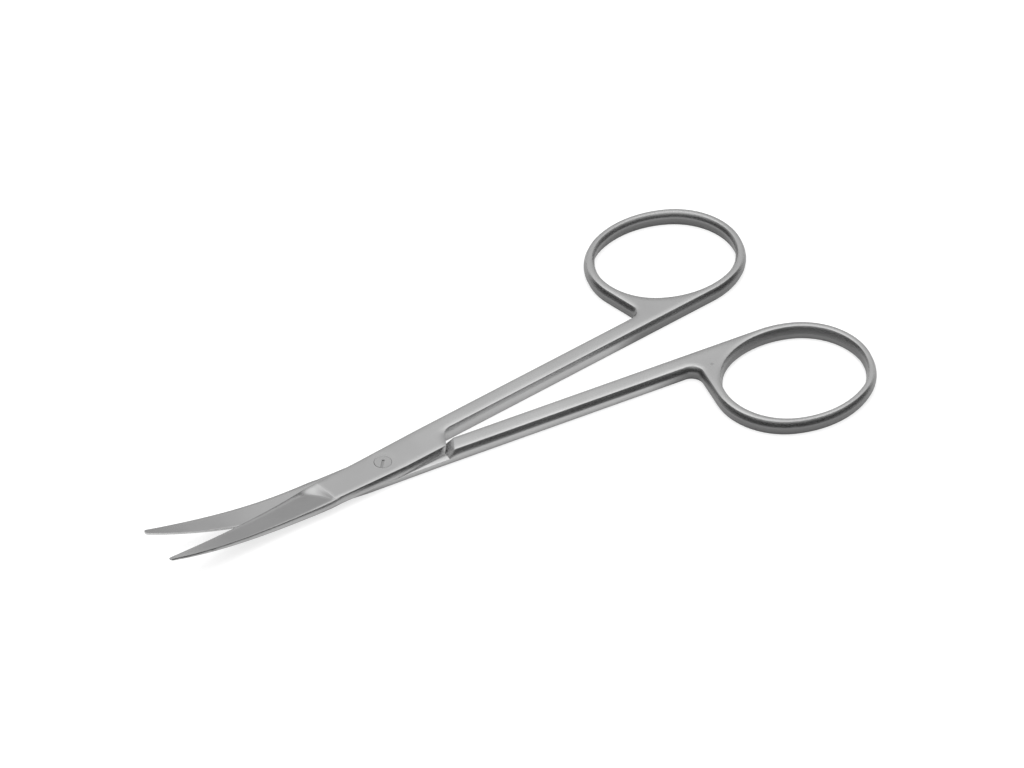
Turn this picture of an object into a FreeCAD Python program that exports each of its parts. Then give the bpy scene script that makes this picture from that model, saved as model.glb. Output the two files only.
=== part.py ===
import FreeCAD, Part
import math
import os

import Sketcher

# Iris scissors: two forged halves with curved blades, crossed in a lap joint and held by a pivot
# screw whose head is ground flush with the upper plate.
#
# Frame: millimetres, +Z up. The origin is on the pivot axis, in the plane that the scissors rest on.
# +X points from the pivot to the finger rings, midway between the shanks. The tips lie towards -X.
#
# Each half is drawn in its own closed position: blade towards -X, shank along +X, ring on the +Y
# side and spine on the -Y side. The lower half is its mirror image, with the plate below. Both are
# then turned apart about the pivot, to the opening at which the scissors lie.

SIZES = {
    # Joint and forging
    "thickness": 2.5,
    "lap_gap": 0.04,
    "rest_half_opening": 5.15,
    "wall_bulge": 0.4,
    "wall_round_bulge": 0.06,
    "wall_round_reach": 0.35,
    "inner_wall_bulge": 0.08,
    # Joint plate: its flat outer face, then its edge in the mating plane
    "plate_spine_side": 2.88,
    "plate_knee_reach": 2.2,
    "plate_knee_radius": 40.0,
    "plate_corner_reach": 9.6,
    "plate_heel_reach": 11.6,
    "plate_corner_undercut": 0.5,
    "plate_heel_undercut": 2.15,
    "plate_corner_radius": 0.25,
    "plate_heel_radius": 1.9,
    "plate_heel_root_radius": 0.35,
    # Shoulder where the full thickness starts
    "shoulder_floor_reach": 9.6,
    "shoulder_inner_reach": 11.65,
    "shoulder_outer_reach": 10.6,
    # Shank
    "shank_inner_side": 0.15,
    "shank_outer_side": 2.54,
    "waist_reach": 8.0,
    "waist_radius": 60.0,
    # Finger ring
    "ring_reach": 63.9,
    "ring_half_length": 12.65,
    "ring_half_width": 10.95,
    "ring_end_radius": 10.45,
    "ring_turn": -5.5,
    "hole_reach": 64.05,
    "hole_side": 11.27,
    "hole_half_length": 11.7,
    "hole_half_width": 10.12,
    "hole_end_radius": 9.65,
    "hole_turn": -7.6,
    "hole_narrow_level": -0.3,
    "hole_round_reach": 0.25,
    "web_lean": 7.0,
    "web_radius": 1.9,
    # Run-out of the grind at the front of the plate
    "grind_spine_reach": 10.35,
    "grind_cut_reach": 10.45,
    "grind_spine_side": 2.2,
    "grind_cut_side": 2.43,
    "grind_spine_run": 0.8,
    "grind_cut_run": 3.0,
    "belly_reach": 3.5,
    "upper_belly_side": 2.37,
    "lower_belly_side": 2.7,
    "belly_radius": 30.0,
    # Blade: sides and height of the spine, from the root on
    "root_reach": 12.0,
    "blade_length": 38.4,
    "root_cut_side": 3.46,
    "root_back_reach": 9.0,
    "root_back_side": 3.1,
    "cut_side_taper": 0.0975,
    "cut_side_tip_drop": 0.7,
    "root_spine_side": 2.05,
    "root_spine_flare": 0.29,
    "root_flare_length": 12.0,
    "spine_side_taper": 0.049,
    "spine_side_tip_drop": 0.25,
    "root_spine_inset": 0.14,
    "tip_spine_inset": 0.1,
    "root_height": 1.15,
    "tip_height": 0.3,
    "upper_edge_land": 0.05,
    "lower_edge_land": 0.38,
    "tip_radius": 0.38,
    "tip_side": -0.15,
    # Upward curve of the blades
    "curve_start": 11.5,
    "curve_radius": 95.0,
    # Pivot screw
    "screw_head_diameter": 2.6,
    "screw_head_height": 0.65,
    "screw_shank_diameter": 1.7,
    "running_clearance": 0.03,
    "thread_clearance": 0.01,
    "seat_clearance": 0.02,
    "slot_width": 0.4,
    "slot_depth": 0.12,
    "slot_end": 0.5,
    "slot_turn": 49.0,
}

doc = FreeCAD.newDocument("iris_scissors")
sheet = doc.addObject("Spreadsheet::Sheet", "Sizes")
for row, (alias, value) in enumerate(SIZES.items(), start=1):
    sheet.set(f"A{row}", alias)
    sheet.set(f"B{row}", str(value))
    sheet.setAlias(f"B{row}", alias)
doc.recompute()


def size(alias):
    """The number in the sheet's cell of that name."""
    return float(sheet.get(alias))


def vector(x, y):
    return FreeCAD.Vector(x, y, 0)


def on_circle(centre, radius, degrees):
    """The point on a circle in the direction of an angle."""
    angle = math.radians(degrees)
    return centre + vector(math.cos(angle), math.sin(angle)) * radius


def arc(centre, radius, start, end):
    """Three points of an arc, between two angles in degrees."""
    return [on_circle(centre, radius, a) for a in (start, (start + end) / 2, end)]


def rounded(previous, corner, following, radius):
    """Three points of the arc that rounds the corner between two straight lines."""
    back = (previous - corner).normalize()
    ahead = (following - corner).normalize()
    half = back.getAngle(ahead) / 2
    middle = (back + ahead).normalize()
    reach = radius / math.tan(half)
    nearest = radius / math.sin(half) - radius
    return [corner + back * reach, corner + middle * nearest, corner + ahead * reach]


def chain(corners):
    """Lines through corners that are given with their radius; the first and the last are the ends."""
    curves = []
    here = corners[0][0]
    for before, corner, after in zip(corners, corners[1:], corners[2:]):
        if corner[1] > 0:
            bend = rounded(before[0], corner[0], after[0], corner[1])
            curves += [[here, bend[0]], bend]
            here = bend[-1]
        else:
            curves.append([here, corner[0]])
            here = corner[0]
    curves.append([here, corners[-1][0]])
    return curves


def oval(name, side, offset):
    """The four arcs of a ring's oval, each as centre, radius, start and end angle, in degrees.

    The end arcs have the given radius. The side arcs follow from the oval's length and width:
    radius = (a^2 + b^2 - 2 a e) / (2 (b - e)) for half length a, half width b and end radius e.
    """
    half_length = size(name + "_half_length")
    half_width = size(name + "_half_width")
    end_radius = size(name + "_end_radius")
    turn = size(name + "_turn")
    squares = half_length**2 + half_width**2
    side_radius = (squares - 2 * half_length * end_radius) / (2 * (half_width - end_radius))
    along = FreeCAD.Rotation(FreeCAD.Vector(0, 0, 1), turn)
    to_end = along.multVec(vector(half_length - end_radius, 0))
    to_side = along.multVec(vector(0, side_radius - half_width))
    join = math.degrees(math.atan2(side_radius - half_width, half_length - end_radius))
    middle = vector(size(name + "_reach"), side)
    return [
        (middle + to_side, side_radius + offset, turn - 180 + join, turn - join),
        (middle + to_end, end_radius + offset, turn - join, turn + join),
        (middle - to_side, side_radius + offset, turn + join, turn + 180 - join),
        (middle - to_end, end_radius + offset, turn + 180 - join, turn + 180 + join),
    ]


def bulge(level, widest, round_reach):
    """How far a wall stands out past its creases, at a level between -1 and 1.

    It leans out in a straight facet from each crease, and is rounded about its widest level.
    """
    if level == widest:
        return size("wall_bulge")
    away = abs(level - widest)
    span = 1 - widest if level > widest else 1 + widest
    facet = size("wall_bulge") - size("wall_round_bulge")
    return facet * (span - away) / (span - round_reach)


def outline(level, up):
    """The forging's outline, without the blade and the ring's hole.

    Level -1 is the face on the plate's side, 0 the middle of the thickness and 1 the other face.
    The walls are widest at level 0. The plate's leaning end runs on in a straight line to level 1,
    where the lap joint later takes the plate's material away.
    """
    out = bulge(level, 0, size("wall_round_reach"))
    inner_side = size("shank_inner_side")
    outer_side = size("shank_outer_side") + out
    belly_side = size("upper_belly_side") if up > 0 else size("lower_belly_side")

    # The ring's nearer side arc is tangent to the shank's inner line
    below = oval("ring", 0, 0)[0]
    ring_side = inner_side + below[1] - below[0].y
    near, far_end, far, shank_end = oval("ring", ring_side, out)

    # Outside, a leaning line leaves the ring and a concave arc turns it into the shank
    lean = size("web_lean")
    leaving = on_circle(shank_end[0], shank_end[1], 180 + lean)
    run = (leaving.y - outer_side) * math.tan(math.radians(lean))
    web = vector(leaving.x + run, outer_side)

    # Run-out of the grind: a plane slope from the plate's face down to the mating plane
    share = 1 + min(level, 0)
    cut_reach = size("grind_cut_reach") + share * size("grind_cut_run")
    spine_reach = size("grind_spine_reach") + share * size("grind_spine_run")
    taper = size("cut_side_taper") * (cut_reach - size("root_reach"))
    widening = (size("root_cut_side") - taper - size("grind_cut_side")) * (1 - abs(level))
    cut_side = size("grind_cut_side") + widening
    spine_side = size("grind_spine_side") + out * size("tip_spine_inset") / size("wall_bulge")

    # End of the plate: its undercut is straight from level to level
    down = level + 1
    corner_reach = size("plate_corner_reach") - down * size("plate_corner_undercut")
    heel_reach = size("plate_heel_reach") - down * size("plate_heel_undercut")
    inner_bulge = size("inner_wall_bulge") * out / size("wall_bulge")
    heel = vector(heel_reach, inner_side - inner_bulge)
    shrink = min(down, 1) * (size("plate_heel_radius") - size("plate_heel_root_radius"))
    plate_side = size("plate_spine_side") + out

    # The shank's inner line runs from the heel to a tangent on the ring
    to_ring = near[0] - heel
    direction = math.degrees(math.atan2(to_ring.y, to_ring.x))
    touching = direction - 180 + math.degrees(math.acos(near[1] / to_ring.Length))
    arrival = on_circle(near[0], near[1], touching)

    curves = chain([
        (leaving, 0),
        (web, size("web_radius") - out),
        (vector(size("waist_reach"), outer_side), size("waist_radius")),
        (vector(-size("belly_reach"), belly_side + out), size("belly_radius")),
        (vector(-cut_reach, cut_side), 0),
        (vector(-spine_reach, -spine_side), 0),
        (vector(size("plate_knee_reach"), -plate_side), size("plate_knee_radius")),
        (vector(corner_reach, -plate_side), size("plate_corner_radius")),
        (heel, size("plate_heel_radius") - shrink),
        (arrival, 0),
    ])
    curves.append(arc(near[0], near[1], touching, near[3]))
    curves.append(arc(*far_end))
    curves.append(arc(*far))
    curves.append(arc(shank_end[0], shank_end[1], shank_end[2], 180 + lean))
    return curves


def ring_hole(level):
    """The hole's outline, narrowest at a level between the middle and the plate's side."""
    narrowing = bulge(level, size("hole_narrow_level"), size("hole_round_reach"))
    return [arc(*part) for part in oval("hole", size("hole_side"), -narrowing)]


def mating_rise(radius):
    """How far the mating surface has risen at a distance from the pivot: flat, then an arc."""
    beyond = max(radius - size("curve_start"), 0)
    return size("curve_radius") - math.sqrt(size("curve_radius")**2 - beyond**2)


def blade_section(reach, up):
    """The blade's section at a distance from the pivot: a wedge with a rounded spine.

    Points are (across, height). The mating side is drawn too deep, and later cut to its surface.
    """
    middle = size("thickness") / 2
    beyond = reach - size("root_reach")
    part = beyond / (size("blade_length") - size("root_reach"))
    cut_side = size("root_cut_side") - size("cut_side_taper") * beyond
    cut_side -= size("cut_side_tip_drop") * part**4
    flare = max(1 - beyond / size("root_flare_length"), 0)
    spine_side = size("root_spine_side") + size("root_spine_flare") * flare**2
    spine_side -= size("spine_side_taper") * beyond + size("spine_side_tip_drop") * part**6
    if beyond < 0:
        cut_side = size("root_back_side")
        spine_side = size("root_spine_side") + size("root_spine_flare")
    inset = size("root_spine_inset") + (size("tip_spine_inset") - size("root_spine_inset")) * part
    height = size("root_height") + (size("tip_height") - size("root_height")) * part
    spine = middle + mating_rise(math.hypot(reach, spine_side))
    edge = middle + mating_rise(math.hypot(reach, cut_side))
    depth = size("thickness") / 4

    # The spine's wall is an arc that stands upright on the mating surface
    radius = (inset**2 + height**2) / (2 * inset)
    sweep = math.degrees(math.asin(height / radius))
    wall = arc(vector(radius - spine_side, 0), radius, 180, 180 - sweep)
    wall = [vector(p.x, spine + up * p.y) for p in wall]
    low_edge = vector(cut_side, edge - up * depth)
    low_spine = vector(-spine_side, spine - up * depth)
    land = size("upper_edge_land") if up > 0 else size("lower_edge_land")
    high_edge = vector(cut_side, edge + up * land)
    return [[low_spine, wall[0]], wall, [wall[-1], high_edge], [high_edge, low_edge],
            [low_edge, low_spine]]


def mating_profile(up):
    """Half section of the space beyond the mating surface, from the pivot axis outwards."""
    plane = size("thickness") / 2 + up * size("lap_gap") / 2
    far = size("thickness") / 2 - up * size("thickness")
    reach = size("blade_length") + size("thickness")
    if up < 0:
        far += mating_rise(reach)
    start = vector(size("curve_start"), plane)
    sweep = math.degrees(math.asin((reach - start.x) / size("curve_radius")))
    rise = arc(start + vector(0, size("curve_radius")), size("curve_radius"), -90, sweep - 90)
    corner = vector(reach, far)
    return [[vector(0, far), vector(0, plane)], [vector(0, plane), start], rise,
            [rise[-1], corner], [corner, vector(0, far)]]


def lap_section(part):
    """The lap joint's outline behind the pivot, from its floor (part 0) to the outer face (part 1).

    Its end is the shoulder: square across at the floor, and leaning back to a slanted upper edge.
    """
    width = 2 * size("shank_outer_side")
    start = -size("belly_reach")
    floor = size("shoulder_floor_reach")
    inner = floor + part * (size("shoulder_inner_reach") - floor)
    outer = floor + part * (size("shoulder_outer_reach") - floor)
    slope = (outer - inner) / (size("shank_outer_side") - size("shank_inner_side"))
    base = inner - slope * size("shank_inner_side")
    points = [vector(start, -width), vector(base - slope * width, -width),
              vector(base + slope * width, width), vector(start, width)]
    return [[a, b] for a, b in zip(points, points[1:] + points[:1])]


def new_body(name):
    return doc.addObject("PartDesign::Body", name)


def add_sketch(body, name, role, offset, curves, flip=(1, 1)):
    """A sketch in a plane of its body, moved along the normal, with lines and arcs from points."""
    sketch = body.newObject("Sketcher::SketchObject", name)
    plane = next(f for f in body.Origin.OriginFeatures if f.Role == role)
    sketch.AttachmentSupport = [(plane, "")]
    sketch.MapMode = "FlatFace"
    sketch.setExpression("AttachmentOffset.Base.z", offset)
    for points in curves:
        ends = [vector(flip[0] * p.x, flip[1] * p.y) for p in points]
        curve = Part.Arc(*ends) if len(ends) == 3 else Part.LineSegment(*ends)
        sketch.addGeometry(curve, False)
    return sketch


def add_loft(body, kind, name, sketches, ruled=False):
    feature = body.newObject("PartDesign::" + kind, name)
    feature.Profile = sketches[0]
    feature.Sections = sketches[1:]
    feature.Ruled = ruled
    return feature


def turn_half_way(body, kind, name, sketch):
    """Turns a profile about the pivot axis, half a turn in all, with the profile in the middle."""
    feature = body.newObject("PartDesign::" + kind, name)
    feature.Profile = sketch
    feature.ReferenceAxis = (sketch, ["V_Axis"])
    feature.Midplane = True
    feature.Angle = 180
    return feature


def add_disc(body, name, height, radius):
    """A circle about the pivot axis at a height, both bound to the sheet."""
    sketch = add_sketch(body, name, "XY_Plane", height, [])
    sketch.addGeometry(Part.Circle(vector(0, 0), FreeCAD.Vector(0, 0, 1), 1), False)
    sketch.addConstraint(Sketcher.Constraint("Coincident", 0, 3, -1, 1))
    constraint = sketch.addConstraint(Sketcher.Constraint("Radius", 0, 1))
    sketch.setExpression(f"Constraints[{constraint}]", radius)
    return sketch


def pocket_through(body, name, sketch):
    pocket = body.newObject("PartDesign::Pocket", name)
    pocket.Profile = sketch
    pocket.Type = "ThroughAll"
    pocket.Midplane = True
    return pocket


def add_pocket(body, name, sketch, depth):
    pocket = body.newObject("PartDesign::Pocket", name)
    pocket.Profile = sketch
    pocket.setExpression("Length", depth)
    return pocket


def add_pad(body, name, sketch, height):
    pad = body.newObject("PartDesign::Pad", name)
    pad.Profile = sketch
    pad.setExpression("Length", height)
    return pad


def beyond_tip():
    """What the rounding takes off the end of the blade."""
    radius = size("tip_radius")
    reach = size("blade_length") - radius
    far = size("blade_length") + size("thickness")
    width = size("thickness")
    nose = arc(vector(-reach, size("tip_side")), radius, 90, 270)
    points = [nose[-1], vector(-reach, -width), vector(-far, -width), vector(-far, width),
              vector(-reach, width), nose[0]]
    return [nose] + [[a, b] for a, b in zip(points, points[1:])]


def build_half(name, prefix, side, up):
    """One half. Side is 1 where its ring lies towards +Y, up is 1 where its plate is the upper one."""
    body = new_body(prefix + "Half")
    body.Label = name
    reach = size("wall_round_reach")
    levels = [-1, -reach, 0, reach, 1]
    sections = [add_sketch(body, f"{prefix}Outline{i}", "XY_Plane",
                           f"Sizes.thickness * {0.5 - 0.5 * up * level}", outline(level, up), (1, side))
                for i, level in enumerate(levels)]
    add_loft(body, "AdditiveLoft", prefix + "Forging", sections, ruled=True)
    narrow = size("hole_narrow_level")
    reach = size("hole_round_reach")
    levels = [-1, narrow - reach, narrow, narrow + reach, 1]
    holes = [add_sketch(body, f"{prefix}Hole{i}", "XY_Plane",
                        f"Sizes.thickness * {0.5 - 0.5 * up * level}", ring_hole(level), (1, side))
             for i, level in enumerate(levels)]
    add_loft(body, "SubtractiveLoft", prefix + "RingHole", holes, ruled=True)

    # The blade, from inside the plate to the tip
    step = (size("blade_length") - size("root_reach")) / BLADE_SECTIONS
    reaches = [size("root_back_reach")]
    reaches += [size("root_reach") + i * step for i in range(BLADE_SECTIONS + 1)]
    blades = [add_sketch(body, f"{prefix}Blade{i}", "YZ_Plane", f"{-reach}",
                         blade_section(reach, up), (side, 1))
              for i, reach in enumerate(reaches)]
    add_loft(body, "AdditiveLoft", prefix + "Blade", blades)
    tip = add_sketch(body, prefix + "Tip", "XY_Plane", "Sizes.thickness", beyond_tip(), (1, side))
    pocket_through(body, prefix + "TipRounding", tip)

    # The mating surface, turned about the pivot, and the lap joint behind the pivot
    profile = add_sketch(body, prefix + "MatingProfile", "XZ_Plane", "0", mating_profile(up), (-1, 1))
    turn_half_way(body, "Groove", prefix + "MatingSurface", profile)
    laps = []
    for i, part in enumerate([0, 1.2]):
        offset = f"Sizes.thickness / 2 + {up} * (Sizes.lap_gap / 2 - {part} * Sizes.thickness / 2)"
        laps.append(add_sketch(body, f"{prefix}Lap{i}", "XY_Plane", offset, lap_section(part), (1, side)))
    add_loft(body, "SubtractiveLoft", prefix + "Lap", laps, ruled=True)

    # The screw's bore, and the recess of its head in the upper plate
    clearance = "running_clearance" if up > 0 else "thread_clearance"
    bore = add_disc(body, prefix + "BoreCircle", "Sizes.thickness",
                    f"Sizes.screw_shank_diameter / 2 + Sizes.{clearance}")
    pocket_through(body, prefix + "Bore", bore)
    if up > 0:
        seat = add_disc(body, prefix + "SeatCircle", "Sizes.thickness",
                        "Sizes.screw_head_diameter / 2 + Sizes.running_clearance")
        add_pocket(body, prefix + "Seat", seat, "Sizes.screw_head_height + Sizes.seat_clearance")

    body.Placement = FreeCAD.Placement(vector(0, 0), FreeCAD.Rotation(FreeCAD.Vector(0, 0, side), 1))
    body.setExpression("Placement.Rotation.Angle", "Sizes.rest_half_opening * 1 deg")
    return body


def build_screw():
    """The pivot screw: a plain shank, a flush head and what grinding left of its slot."""
    body = new_body("PivotScrew")
    body.Label = "pivot_screw"
    shank = add_disc(body, "ShankCircle", "0", "Sizes.screw_shank_diameter / 2")
    add_pad(body, "Shank", shank, "Sizes.thickness - Sizes.screw_head_height")
    head = add_disc(body, "HeadCircle", "Sizes.thickness - Sizes.screw_head_height",
                    "Sizes.screw_head_diameter / 2")
    add_pad(body, "Head", head, "Sizes.screw_head_height")
    half_width = size("slot_width") / 2
    corners = [vector(-size("screw_head_diameter"), -half_width), vector(size("slot_end"), -half_width),
               vector(size("slot_end"), half_width), vector(-size("screw_head_diameter"), half_width)]
    sides = [[a, b] for a, b in zip(corners, corners[1:] + corners[:1])]
    slot = add_sketch(body, "SlotOutline", "XY_Plane", "Sizes.thickness", sides)
    add_pocket(body, "Slot", slot, "Sizes.slot_depth")
    body.Placement = FreeCAD.Placement(vector(0, 0), FreeCAD.Rotation(FreeCAD.Vector(0, 0, 1), 1))
    body.setExpression("Placement.Rotation.Angle", "Sizes.slot_turn * 1 deg")
    return body


BLADE_SECTIONS = 8

pieces = [
    build_half("upper_half", "Upper", 1, 1),
    build_half("lower_half", "Lower", -1, -1),
    build_screw(),
]
doc.recompute()

# Everything is checked before anything is written
for item in doc.Objects:
    if "Invalid" in item.State or "Error" in item.State:
        raise RuntimeError(f"{item.Name} failed: {item.State}")
for piece in pieces:
    if piece.Shape.isNull() or not piece.Shape.isValid() or len(piece.Shape.Solids) != 1:
        raise RuntimeError(f"{piece.Label} is not one valid solid")
    print(piece.Label, round(piece.Shape.Volume, 2), "mm3,", len(piece.Shape.Faces), "faces")

os.makedirs("parts", exist_ok=True)
for piece in pieces:
    piece.Shape.exportStep(f"parts/{piece.Label}.step")
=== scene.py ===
# %% [markdown]
# # Iris scissors in Blender
# Small surgical scissors of ground stainless steel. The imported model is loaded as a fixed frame:
# every forging, its place and its motion come from there. This lesson gives it the finish of the
# real thing, a camera, a white table and soft light. Sizes are in metres.

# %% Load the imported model
import math

import bpy
from mathutils import Matrix, Vector

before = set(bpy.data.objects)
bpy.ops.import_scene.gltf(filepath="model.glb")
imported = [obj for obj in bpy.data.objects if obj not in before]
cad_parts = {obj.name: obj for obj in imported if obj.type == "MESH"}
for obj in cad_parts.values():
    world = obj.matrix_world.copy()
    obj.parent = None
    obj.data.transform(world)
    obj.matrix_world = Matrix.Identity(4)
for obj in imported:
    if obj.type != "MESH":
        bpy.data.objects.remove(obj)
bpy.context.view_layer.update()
MM = 0.001


print("nodes:", sorted(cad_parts))

# %% [markdown]
# The camera was worked out from the photograph: the parallel sides of the shanks and the ovals of
# the rings give its height above the table, its direction and its distance. A long lens, about
# 66 cm away, keeps the far ring nearly as large as the near one. The camera is placed by three
# unit vectors: to its right, up in the image, and back towards the viewer. It stands where the
# middle of the plate, on the pivot axis, falls on its own pixel of the photograph.

# %% Camera
ELEVATION = math.radians(40.285)
YAW = math.radians(33.653)
DISTANCE = 0.66264
PIXELS_PER_MM = 6.79196
IMAGE_WIDTH, IMAGE_HEIGHT = 1024, 768
PIVOT_COLUMN, PIVOT_ROW = 382.82, 461.89
PLATE_TOP = 0.0025
SENSOR_WIDTH_MM = 36
NEAREST_SHOWN = 0.01

metres_per_pixel = MM / PIXELS_PER_MM
right = Vector((math.cos(YAW), -math.sin(YAW), 0))
back = Vector((-math.sin(YAW) * math.cos(ELEVATION), -math.cos(YAW) * math.cos(ELEVATION),
               math.sin(ELEVATION)))
up = back.cross(right)
across = (PIVOT_COLUMN - IMAGE_WIDTH / 2) * metres_per_pixel
above = (IMAGE_HEIGHT / 2 - PIVOT_ROW) * metres_per_pixel

camera_data = bpy.data.cameras.new("Camera")
camera_data.sensor_width = SENSOR_WIDTH_MM
camera_data.lens = SENSOR_WIDTH_MM * DISTANCE / metres_per_pixel / IMAGE_WIDTH
camera_data.clip_start = NEAREST_SHOWN
camera = bpy.data.objects.new("Camera", camera_data)
camera.matrix_world = Matrix((right, up, back)).transposed().to_4x4()
camera.location = Vector((0, 0, PLATE_TOP)) - across * right - above * up + DISTANCE * back
bpy.context.scene.collection.objects.link(camera)
bpy.context.scene.camera = camera
bpy.context.scene.view_settings.view_transform = "Standard"
print("lens", round(camera_data.lens, 1), "mm, camera at", [round(v, 3) for v in camera.location])

# %% [markdown]
# A node graph is easier to read when each node is made in one line. The first helper adds a node,
# sets its values, and links what is given to its inputs: a plain value is set, a socket is linked.
# The others are short names for the nodes that this lesson needs most often.

# %% Helpers for node graphs
MIX_SOCKETS = {"FLOAT": (2, 0), "VECTOR": (4, 1), "RGBA": (6, 2)}


def add_node(tree, kind, inputs=(), **settings):
    """Adds a node. Inputs is a dictionary of socket name or number to value or output socket."""
    node = tree.nodes.new(kind)
    for key, value in settings.items():
        setattr(node, key, value)
    for key, value in dict(inputs).items():
        if isinstance(value, bpy.types.NodeSocket):
            tree.links.new(value, node.inputs[key])
        else:
            node.inputs[key].default_value = value
    return node


def reckon(tree, operation, *values):
    """A Math node on one to three values. MULTIPLY_ADD is first times second, plus the third."""
    return add_node(tree, "ShaderNodeMath", dict(enumerate(values)), operation=operation).outputs[0]


def reckon_vector(tree, operation, *values):
    """A Vector Math node. A length, a distance or a dot product comes out of its second socket."""
    node = add_node(tree, "ShaderNodeVectorMath", dict(enumerate(values)), operation=operation)
    gives_number = operation in ("LENGTH", "DISTANCE", "DOT_PRODUCT")
    return node.outputs["Value" if gives_number else "Vector"]


def fade(tree, value, start, end, first=0.0, last=1.0, smooth=False):
    """Goes from first to last while the value goes from start to end, and stays there outside."""
    ends = {"Value": value, "From Min": start, "From Max": end, "To Min": first, "To Max": last}
    shape = "SMOOTHSTEP" if smooth else "LINEAR"
    return add_node(tree, "ShaderNodeMapRange", ends, interpolation_type=shape).outputs["Result"]


def blend(tree, factor, first, second, kind="FLOAT"):
    """A Mix node: first where the factor is 0, second where it is 1. Each kind has its own sockets."""
    inlet, outlet = MIX_SOCKETS[kind]
    ends = {0: factor, inlet: first, inlet + 1: second}
    return add_node(tree, "ShaderNodeMix", ends, data_type=kind).outputs[outlet]


def grey_ramp(tree, factor, stops):
    """A colour ramp in greys: stops are pairs of position and grey."""
    node = add_node(tree, "ShaderNodeValToRGB", {"Fac": factor})
    elements = node.color_ramp.elements
    while len(elements) < len(stops):
        elements.new(1)
    for element, (place, grey) in zip(elements, stops):
        element.position = place
        element.color = (grey, grey, grey, 1)
    return node.outputs["Color"]


print("helpers ready")

# %% [markdown]
# Ground steel has hardly any colour of its own: what shows is the room. In the photograph the walls
# that face us are dark just below their upper edge and paler further down, as if they mirrored a dark
# side of the room behind the camera and then the table. The world paints such a room by direction.
# Its near side is almost black at the horizon and gets brighter with height. Its far side is pale at
# the horizon, greyer above it and brightest high up. The flat faces of the plate mirror it at a
# height of 0.65, and the raised blades mirror lower places further to the right, where it is a shade
# darker. The camera itself sees plain white.

# %% World
WHITE = (1, 1, 1, 1)
TOWARDS_VIEWER = (-math.sin(YAW), -math.cos(YAW), 0.0)
TO_THE_LEFT = (-math.cos(YAW), math.sin(YAW), 0.0)
FAR_TO_NEAR = (-0.62, -0.10)
RIGHT_TO_LEFT = (-0.12, 0.04)
# Each stop is a height, 0 at the horizon and 1 overhead, and the light that comes from there.
FAR_RIGHT_LIGHT = [(0.0, 0.68), (0.12, 0.56), (0.24, 0.41), (0.38, 0.41), (0.50, 0.52),
                   (0.62, 0.65), (0.74, 0.76), (0.87, 1.4), (0.93, 1.2), (0.98, 0.8)]
FAR_LEFT_LIGHT = [(0.0, 0.70), (0.12, 0.58), (0.22, 0.43), (0.40, 0.44), (0.50, 0.61), (0.57, 0.66),
                  (0.64, 0.66), (0.74, 0.76), (0.87, 1.4), (0.93, 1.2), (0.98, 0.8)]
NEAR_LIGHT = [(0.0, 0.03), (0.12, 0.035), (0.26, 0.13), (0.45, 0.20), (0.60, 0.34),
              (0.76, 0.8), (0.87, 1.3), (0.93, 1.15), (0.98, 0.8)]

world = bpy.data.worlds.new("Studio")
bpy.context.scene.world = world
world.use_nodes = True
tree = world.node_tree
tree.nodes.clear()
direction = add_node(tree, "ShaderNodeTexCoord").outputs["Generated"]
height = add_node(tree, "ShaderNodeSeparateXYZ", {0: direction}).outputs["Z"]
nearness = reckon_vector(tree, "DOT_PRODUCT", direction, TOWARDS_VIEWER)
leftness = reckon_vector(tree, "DOT_PRODUCT", direction, TO_THE_LEFT)
near_side = fade(tree, nearness, *FAR_TO_NEAR, smooth=True)
left_side = fade(tree, leftness, *RIGHT_TO_LEFT, smooth=True)
far_right = grey_ramp(tree, height, FAR_RIGHT_LIGHT)
far_left = grey_ramp(tree, height, FAR_LEFT_LIGHT)
far = blend(tree, left_side, far_right, far_left, "RGBA")
near = grey_ramp(tree, height, NEAR_LIGHT)
room = blend(tree, near_side, far, near, "RGBA")
to_camera = add_node(tree, "ShaderNodeLightPath").outputs["Is Camera Ray"]
shown = blend(tree, to_camera, room, WHITE, "RGBA")
background = add_node(tree, "ShaderNodeBackground", {"Color": shown, "Strength": 1.0})
add_node(tree, "ShaderNodeOutputWorld", {"Surface": background.outputs[0]})
print("world painted by direction, brightest", max(light for _, light in FAR_LEFT_LIGHT))

# %% [markdown]
# The photograph has a pure white ground. Here it is a smooth white board. Much of its white is light
# of its own, more for the camera than for the steel, so that it stays white and still takes a faint
# shadow. Seen at a flat angle a smooth board shines. That matters only to the steel, which mirrors
# the board: where a wall sees it at such an angle, it finds the dark side of the room in it. So the
# board is glossy for those rays alone, and matt for the camera.

# %% White board
BOARD_GREY = (0.55, 0.55, 0.55, 1)
BOARD_ROUGHNESS = 0.9
GLOW_FOR_CAMERA = 0.70
GLOW_FOR_STEEL = 0.22
SHINE_ROUGHNESS = 0.1
# 0 is a view from straight above, 1 is a view level with the board.
FLAT_ANGLE = (0.56, 0.82)


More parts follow.
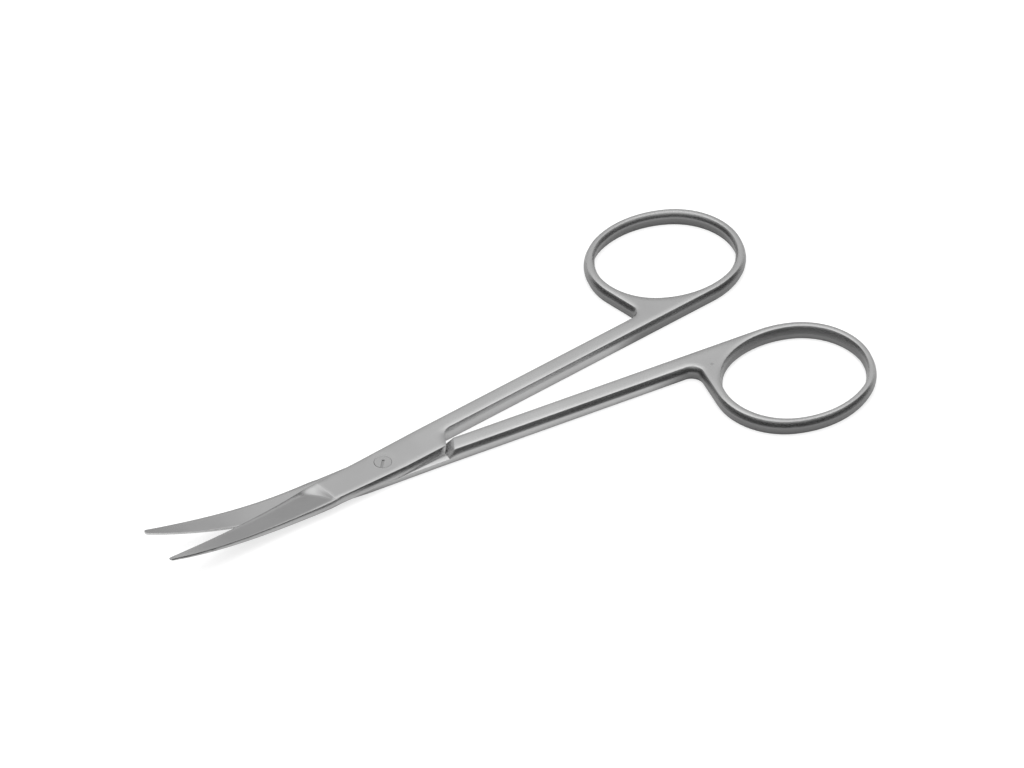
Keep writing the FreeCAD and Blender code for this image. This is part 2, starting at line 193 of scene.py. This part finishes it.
def board_material():
    """Matt white with a light of its own, and a shine at flat angles that only reflections meet."""
    material = bpy.data.materials.new("White table")
    material.use_nodes = True
    tree = material.node_tree
    shader = tree.nodes["Principled BSDF"]
    shader.inputs["Base Color"].default_value = BOARD_GREY
    shader.inputs["Roughness"].default_value = BOARD_ROUGHNESS
    shader.inputs["Specular IOR Level"].default_value = 0.0
    shader.inputs["Emission Color"].default_value = WHITE
    rays = add_node(tree, "ShaderNodeLightPath").outputs
    glow = reckon(tree, "MULTIPLY", rays["Is Camera Ray"], GLOW_FOR_CAMERA)
    glow = reckon(tree, "MULTIPLY_ADD", rays["Is Glossy Ray"], GLOW_FOR_STEEL, glow)
    tree.links.new(glow, shader.inputs["Emission Strength"])
    facing = add_node(tree, "ShaderNodeLayerWeight").outputs["Facing"]
    flat_view = fade(tree, facing, *FLAT_ANGLE, smooth=True)
    flat_view = reckon(tree, "MULTIPLY", flat_view, rays["Is Glossy Ray"])
    shine = add_node(tree, "ShaderNodeBsdfGlossy", {"Color": WHITE, "Roughness": SHINE_ROUGHNESS})
    surface = add_node(tree, "ShaderNodeMixShader", {0: flat_view, 1: shader.outputs[0],
                                                     2: shine.outputs[0]})
    tree.links.new(surface.outputs[0], tree.nodes["Material Output"].inputs["Surface"])
    return material


board = board_material()
print("material:", board.name)

# %% [markdown]
# The board itself is one square face. It reaches so far that its edge doesn't show.

# %% Table
TABLE_HALF = 1.5
table_corners = [(x * TABLE_HALF, y * TABLE_HALF, 0) for x, y in ((-1, -1), (1, -1), (1, 1), (-1, 1))]
table_mesh = bpy.data.meshes.new("Table")
table_mesh.from_pydata(table_corners, [], [(0, 1, 2, 3)])
table_mesh.materials.append(board)
table = bpy.data.objects.new("Table", table_mesh)
bpy.context.scene.collection.objects.link(table)
print("table", 2 * TABLE_HALF, "m wide")

# %% [markdown]
# One large, soft lamp straight overhead stands for the studio's softbox. It lights the table and
# lays the faint shadow. The steel doesn't mirror it: the world already holds the light it mirrors,
# and a second one would burn the flat faces white when they are seen from above.

# %% Lamp
LAMP_WIDTH = 0.5
LAMP_WATTS = 1.6
LAMP_PLACE = Vector((0, 0, 0.9))
LAMP_TARGET = Vector((0.02, 0, 0))

lamp_data = bpy.data.lights.new("Softbox", "AREA")
lamp_data.shape = "RECTANGLE"
lamp_data.size = LAMP_WIDTH
lamp_data.size_y = LAMP_WIDTH
lamp_data.energy = LAMP_WATTS
lamp = bpy.data.objects.new("Softbox", lamp_data)
lamp.location = LAMP_PLACE
lamp.rotation_mode = "QUATERNION"
lamp.rotation_quaternion = (LAMP_TARGET - LAMP_PLACE).to_track_quat("-Z", "Y")
lamp.visible_glossy = False
bpy.context.scene.collection.objects.link(lamp)
print("lamp", LAMP_WATTS, "W")

# %% [markdown]
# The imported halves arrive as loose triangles. Welding their points and splitting only at real edges
# lets Blender shade the curved walls smoothly while every ground crease stays crisp. A third
# modifier lets the large flat faces, and not the slim ones beside them, decide how the light lies at
# their common edge. They are all modifiers, so the model's own points stay where they are.

# %% Smooth walls, crisp creases
WELD_DISTANCE = 1e-6
CREASE_ANGLE = math.radians(28)
LARGE_FACES_FIRST = 100

for name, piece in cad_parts.items():
    piece.data.shade_smooth()
    weld = piece.modifiers.new("Weld", "WELD")
    weld.merge_threshold = WELD_DISTANCE
    creases = piece.modifiers.new("Creases", "EDGE_SPLIT")
    creases.split_angle = CREASE_ANGLE
    weighted = piece.modifiers.new("Flat faces stay flat", "WEIGHTED_NORMAL")
    weighted.mode = "FACE_AREA"
    weighted.weight = LARGE_FACES_FIRST
    print(name, len(piece.data.polygons), "triangles, smooth shading")

# %% [markdown]
# What several steels share is made once, as a node group. Each group starts in the same way: it gets
# its named inputs, with the values that hold unless a material sets others, and its outputs, all of
# them plain numbers that a material can use as masks.

# %% Start of a node group
def start_group(name, inputs, outputs):
    """A new group with its sockets: gives the group, its inputs and the place on the object."""
    group = bpy.data.node_groups.new(name, "ShaderNodeTree")
    for label, value in inputs.items():
        kind = "NodeSocketVector" if isinstance(value, tuple) else "NodeSocketFloat"
        socket = group.interface.new_socket(label, in_out="INPUT", socket_type=kind)
        socket.default_value = value
    for label in outputs:
        group.interface.new_socket(label, in_out="OUTPUT", socket_type="NodeSocketFloat")
    given = add_node(group, "NodeGroupInput").outputs
    place = add_node(group, "ShaderNodeTexCoord").outputs["Object"]
    return group, given, place


print("groups start from named sockets and Object coordinates")

# %% [markdown]
# The real faces have a satin finish: the light spreads softly on them, with faint clouds. Slow noise
# makes the clouds, and fine noise, drawn out along the scissors, makes a grain too fine to see by
# itself. The same group marks the places along the scissors where the finish differs, and where shade
# is painted. The shanks are a little brighter. The blades are slender, so their creases are rounded
# less. The walls of the rings get a painted shade, which darkens their grey most of all in their lower
# half. In front of the joint the grind of the blade runs out softly. Each place is a pair of distances
# from the pivot along X, or of heights, and its mask changes from the first to the second.

# %% Shared finish: satin, places and painted wall shade
CLOUDS_PER_METRE = 120.0
GRAINS_PER_METRE = 9000.0
GRAIN_STRETCH = 0.15
SHANKS_START = (-0.012, 0.030)
SHANKS_END = (0.044, 0.054)
POLISH_ON_RINGS = 0.2
TIPS_TO_PLATE = (-0.030, 0.002)
ROUNDING_AT_TIPS = 0.12
WEB_TO_RINGS = (0.042, 0.050)
MID_HEIGHT = PLATE_TOP / 2
# Heights where the painted shade on the walls of the rings sets in below the crease, and where it
# deepens down to mid-height.
BELOW_CREASE = (PLATE_TOP - 0.00010, PLATE_TOP - 0.00035)
DOWN_THE_WALL = (PLATE_TOP - 0.00045, MID_HEIGHT)
SHADE_AT_CREASE = 0.5
RUNOUT_BACK = (-0.0080, -0.0098)
RUNOUT_FRONT = (-0.0150, -0.0125)


def make_satin_group():
    """Clouds and Grain are noise. Each other output is 1 in its place and fades out beside it."""
    inputs = {"Cloud Scale": CLOUDS_PER_METRE, "Grain Scale": GRAINS_PER_METRE, "Stretch": GRAIN_STRETCH}
    outputs = ("Clouds", "Grain", "Polish", "Body", "Rings", "Painted Wall Shade", "Runout")
    group, given, place = start_group("Satin steel", inputs, outputs)
    clouds = add_node(group, "ShaderNodeTexNoise", {"Vector": place, "Scale": given["Cloud Scale"],
                                                    "Detail": 3.0, "Roughness": 0.55})
    stretch = add_node(group, "ShaderNodeCombineXYZ", {"X": given["Stretch"], "Y": 1.0, "Z": 1.0})
    drawn = reckon_vector(group, "MULTIPLY", place, stretch.outputs[0])
    grain = add_node(group, "ShaderNodeTexNoise", {"Vector": drawn, "Scale": given["Grain Scale"],
                                                   "Detail": 2.0})
    parts = add_node(group, "ShaderNodeSeparateXYZ", {0: place}).outputs
    along, height = parts["X"], parts["Z"]

    rise = fade(group, along, *SHANKS_START, smooth=True)
    fall = fade(group, along, *SHANKS_END, first=1.0, last=POLISH_ON_RINGS, smooth=True)
    polish = reckon(group, "MULTIPLY", rise, fall)
    body = fade(group, along, *TIPS_TO_PLATE, first=ROUNDING_AT_TIPS)
    rings = fade(group, along, *WEB_TO_RINGS, smooth=True)
    # Painted shade on the walls of the rings: it sets in below the crease at half strength and is full
    # from mid-height down.
    walls = fade(group, height, *BELOW_CREASE)
    deep = fade(group, height, *DOWN_THE_WALL, first=SHADE_AT_CREASE)
    walls = reckon(group, "MULTIPLY", walls, deep)
    walls = reckon(group, "MULTIPLY", walls, rings)
    runout = reckon(group, "MULTIPLY", fade(group, along, *RUNOUT_BACK, smooth=True),
                    fade(group, along, *RUNOUT_FRONT, smooth=True))
    add_node(group, "NodeGroupOutput", {"Clouds": clouds.outputs["Fac"], "Grain": grain.outputs["Fac"],
                                        "Polish": polish, "Body": body, "Rings": rings,
                                        "Painted Wall Shade": walls, "Runout": runout})
    return group


satin = make_satin_group()
print("group:", satin.name, [socket.name for socket in satin.interface.items_tree])

# %% [markdown]
# The screw is flush with the plate, so all that shows of it is the hair-thin seam round its head and
# a faint slot. The seam is painted dark, as painted shade for a gap too thin to show, and the slot
# and one tiny pit beside the near ring are painted darker too. The second group makes that mask from
# the distance to the pivot axis, which is the object's own Z axis, from the height, and from the
# distance to the pit. The seam is broken up by noise, and it is strongest on the two sides that face
# the tips and the rings. A slot lies below its brim, so a brim below the table means no slot, and a
# pit far away from the scissors means no pit.

# %% Shared finish: painted shade in the seam, a darker slot and pit
SEAM_RADIUS = 0.001315
SEAM_WIDTH = 0.00007
NO_SLOT = -1.0
SLOT_DARKENING = 0.35
NO_PIT = (1, 1, 1)
PIT_DARKENING = 0.35
PIT_EDGE = (0.0001, 0.00035)
PATCHES_PER_METRE = 700.0
PATCH_EDGE = (0.40, 0.55)
LEAST_PATCH = 0.25
LENGTHWAYS_ARCS = (0.3, 0.9)
LEAST_ARC = 0.1
SCREW_TO_FACES = (0.0017, 0.0024)


def make_darkening_group():
    """The first output is up to 1 in the seam, where it is painted shade, less in slot and pit. Away: 0
    round the screw, 1 further off.
    """
    inputs = {"Seam Radius": SEAM_RADIUS, "Seam Width": SEAM_WIDTH, "Brim": NO_SLOT,
              "Slot": SLOT_DARKENING, "Pit": NO_PIT}
    group, given, place = start_group("Seam residue", inputs, ("Darkening", "Away"))
    level = add_node(group, "ShaderNodeSeparateXYZ", {0: place}).outputs["Z"]
    flat = reckon_vector(group, "MULTIPLY", place, (1, 1, 0))
    radius = reckon_vector(group, "LENGTH", flat)

    # The seam's painted shade: strongest on the seam's circle, fading out beside it.
    off = reckon(group, "SUBTRACT", radius, given["Seam Radius"])
    off = reckon(group, "ABSOLUTE", off)
    seam = fade(group, off, 0.0, given["Seam Width"], first=1.0, last=0.0)
    patches = add_node(group, "ShaderNodeTexNoise", {"Vector": place, "Scale": PATCHES_PER_METRE,
                                                     "Detail": 1.0}).outputs["Fac"]
    seam = reckon(group, "MULTIPLY", seam, fade(group, patches, *PATCH_EDGE, first=LEAST_PATCH))
    outward = reckon_vector(group, "NORMALIZE", flat)
    lengthways = add_node(group, "ShaderNodeSeparateXYZ", {0: outward}).outputs["X"]
    lengthways = reckon(group, "MULTIPLY", lengthways, lengthways)
    arcs = fade(group, lengthways, *LENGTHWAYS_ARCS, first=LEAST_ARC)
    seam = reckon(group, "MULTIPLY", seam, arcs)

    # The slot and the pit are painted darker.
    slot = reckon(group, "LESS_THAN", level, given["Brim"])
    slot = reckon(group, "MULTIPLY", slot, given["Slot"])
    to_pit = reckon_vector(group, "DISTANCE", place, given["Pit"])
    pit = fade(group, to_pit, *PIT_EDGE, first=PIT_DARKENING, last=0.0)
    darkening = reckon(group, "MAXIMUM", seam, slot)
    darkening = reckon(group, "MAXIMUM", darkening, pit)
    away = fade(group, radius, *SCREW_TO_FACES)
    add_node(group, "NodeGroupOutput", {"Darkening": darkening, "Away": away})
    return group


darkening_group = make_darkening_group()
print("group:", darkening_group.name, [socket.name for socket in darkening_group.interface.items_tree])

# %% [markdown]
# Honing leaves a narrow land just under the cutting edge. Along the edge of the far blade, which
# belongs to the lower half, its light line is a painted highlight. The third group finds it by its
# depth below the mating face. That face lies half a gap under mid-height round the pivot. Then it
# rises along a circle, by the circle's radius times one minus the cosine of the angle reached.

# %% Shared finish: honed land
BLADE_GAP = 0.00004
MATING_HEIGHT = MID_HEIGHT - BLADE_GAP / 2
RISE_START = 0.0115
RISE_RADIUS = 0.095
LAND_DEPTH = 0.00050
EDGE_TO_LAND = (0.00001, 0.00004)
PLATE_TO_BLADE = (-0.014, -0.018)


def make_honed_group():
    """Honed: 1 in a thin layer below the mating face, on the blade only."""
    inputs = {"Mating Height": MATING_HEIGHT, "Rise Start": RISE_START, "Rise Radius": RISE_RADIUS,
              "Land": LAND_DEPTH}
    group, given, place = start_group("Honed land", inputs, ("Honed",))
    parts = add_node(group, "ShaderNodeSeparateXYZ", {0: place}).outputs
    radius = reckon_vector(group, "LENGTH", reckon_vector(group, "MULTIPLY", place, (1, 1, 0)))
    run = reckon(group, "SUBTRACT", radius, given["Rise Start"])
    angle = reckon(group, "ARCSINE", reckon(group, "DIVIDE", run, given["Rise Radius"]))
    drop = reckon(group, "SUBTRACT", 1.0, reckon(group, "COSINE", angle))
    mating = reckon(group, "MULTIPLY_ADD", drop, given["Rise Radius"], given["Mating Height"])
    depth = reckon(group, "SUBTRACT", mating, parts["Z"])
    honed = reckon(group, "MULTIPLY", fade(group, depth, *EDGE_TO_LAND),
                   reckon(group, "LESS_THAN", depth, given["Land"]))
    honed = reckon(group, "MULTIPLY", honed, fade(group, parts["X"], *PLATE_TO_BLADE))
    add_node(group, "NodeGroupOutput", {"Honed": honed})
    return group


honed_group = make_honed_group()
print("group:", honed_group.name, [socket.name for socket in honed_group.interface.items_tree])

# %% [markdown]
# Steel is a metal, so nearly all its look is its reflection. Its own part is a mid grey. The clouds
# shift that grey and the roughness a little. The shanks add to it, a painted shade on the walls of the
# rings takes from it, a painted highlight makes the honed land the brightest, and the seam, slot and
# pit are painted dark and dull, the seam as the shade of its gap.

# %% Grey and roughness of the steel
CLOUD_RANGE = (0.3, 0.7)
GREY_SHIFT = 0.04
ROUGHNESS_SHIFT = 0.08
# How far painted shade darkens the walls of the rings, at most.
WALL_SHADE = 0.58
# The grey of the painted highlight on the honed land.
LAND_HIGHLIGHT_GREY = 1.0
# The grey of the seam's painted shade and of the darker slot and pit.
DARKENED_GREY = 0.14
DARKENED_ROUGHNESS = 0.5


def steel_grey(tree, masks, marks, base, polish, land_highlight):
    """The base grey, then each mask's share of it with painted shade on the ring walls, then the painted
    highlight of the land and the darker seam, slot and pit laid over it.
    """
    grey = fade(tree, masks["Clouds"], *CLOUD_RANGE, first=base * (1 - GREY_SHIFT),
                last=base * (1 + GREY_SHIFT))
    grey = reckon(tree, "MULTIPLY_ADD", masks["Polish"], base * polish, grey)
    # Painted shade darkens the walls of the rings.
    shade = reckon(tree, "MULTIPLY_ADD", masks["Painted Wall Shade"], -WALL_SHADE, 1.0)
    grey = reckon(tree, "MULTIPLY", grey, shade)
    if land_highlight:
        # Painted highlight: the honed land is lightened towards white.
        land = add_node(tree, "ShaderNodeGroup", node_tree=honed_group).outputs["Honed"]
        grey = blend(tree, reckon(tree, "MULTIPLY", land, land_highlight), grey, LAND_HIGHLIGHT_GREY)
    # The seam's painted shade and the darker slot and pit are laid over all.
    grey = blend(tree, marks["Darkening"], grey, DARKENED_GREY)
    colour = add_node(tree, "ShaderNodeCombineColor", {"Red": grey, "Green": grey, "Blue": grey})
    return colour.outputs["Color"]


def steel_roughness(tree, masks, marks, roughness):
    """The roughness, shifted by the clouds, and duller in the darkened seam, slot and pit."""
    rough = fade(tree, masks["Clouds"], *CLOUD_RANGE, first=roughness * (1 - ROUGHNESS_SHIFT),
                 last=roughness * (1 + ROUGHNESS_SHIFT))
    return blend(tree, marks["Darkening"], rough, DARKENED_ROUGHNESS)


print("walls of the rings up to", round(100 * WALL_SHADE), "percent darker")

# %% [markdown]
# Grinding by hand leaves no face quite flat and no crease quite sharp. A narrow Bevel node rounds
# each crease. A wide one is mixed in weakly: it leans the faces over towards their edges, which gives
# the soft light line along them. It has more weight on the rings and where the grind of the blade
# runs out, less reach on the slender blades, and none round the screw, where the faces are flat. Both
# act on the shading alone. Last comes a very low bump from the grain.

# %% Rounded creases and grain
BEVEL_SAMPLES = 6
WIDE_SHARE = 0.3
WIDE_SHARE_ON_RINGS = 0.2
WIDE_SHARE_IN_RUNOUT = 0.25
GRAIN_STRENGTH = 0.3
GRAIN_HEIGHT = 2e-6


def steel_normal(tree, masks, marks, bevel, crown):
    """The surface's direction: bevel is the narrow rounding's radius, crown is the wide one's."""
    tight = add_node(tree, "ShaderNodeBevel", {"Radius": bevel}, samples=BEVEL_SAMPLES)
    reach = reckon(tree, "MULTIPLY", masks["Body"], crown)
    wide = add_node(tree, "ShaderNodeBevel", {"Radius": reach}, samples=BEVEL_SAMPLES)
    share = reckon(tree, "MULTIPLY_ADD", masks["Rings"], WIDE_SHARE_ON_RINGS, WIDE_SHARE)
    share = reckon(tree, "MULTIPLY_ADD", masks["Runout"], WIDE_SHARE_IN_RUNOUT, share)
    share = reckon(tree, "MULTIPLY", marks["Away"], share)
    lean = blend(tree, share, tight.outputs[0], wide.outputs[0], "VECTOR")
    relief = add_node(tree, "ShaderNodeBump", {"Height": masks["Grain"], "Strength": GRAIN_STRENGTH,
                                               "Distance": GRAIN_HEIGHT, "Normal": lean})
    return relief.outputs[0]


print("grain", GRAIN_HEIGHT / MM, "mm high")

# %% [markdown]
# One function now makes a steel from these parts. The three pieces differ by small amounts of grey
# and polish. Only the lower half has the honed land, with its painted highlight, and the pit, and only
# the screw has a slot.

# %% Finishes of the three pieces
FORGED = {"roughness": 0.22, "bevel": 0.00009, "crown": 0.0016}
PIT_PLACE = (0.0534, -0.0086, PLATE_TOP)
SLOT_BRIM = PLATE_TOP - 0.00006


def steel_material(name, base, roughness, polish, bevel, crown, brim=NO_SLOT, land_highlight=0.0, pit=NO_PIT):
    """A satin steel: polish brightens the shanks, and a painted highlight the honed land, as shares from
    0 to 1.
    """
    material = bpy.data.materials.new(name)
    material.use_nodes = True
    tree = material.node_tree
    shader = tree.nodes["Principled BSDF"]
    masks = add_node(tree, "ShaderNodeGroup", node_tree=satin).outputs
    darkening = add_node(tree, "ShaderNodeGroup", node_tree=darkening_group)
    darkening.inputs["Brim"].default_value = brim
    darkening.inputs["Pit"].default_value = pit
    marks = darkening.outputs
    tree.links.new(steel_grey(tree, masks, marks, base, polish, land_highlight), shader.inputs["Base Color"])
    tree.links.new(steel_roughness(tree, masks, marks, roughness), shader.inputs["Roughness"])
    tree.links.new(steel_normal(tree, masks, marks, bevel, crown), shader.inputs["Normal"])
    shader.inputs["Metallic"].default_value = 1.0
    return material


finishes = {
    "upper_half": steel_material("Forged steel", base=0.59, polish=0.11, **FORGED),
    # The lower half gets the painted highlight on its honed land, and the pit.
    "lower_half": steel_material("Forged steel, lower half", base=0.60, polish=0.15, land_highlight=0.8,
                                 pit=PIT_PLACE, **FORGED),
    "pivot_screw": steel_material("Screw steel", base=0.57, roughness=0.24, polish=0.0, bevel=0.00003,
                                  crown=0.0001, brim=SLOT_BRIM),
}
for name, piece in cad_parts.items():
    piece.data.materials.clear()
    piece.data.materials.append(finishes[name])
print("materials:", [finish.name for finish in finishes.values()])
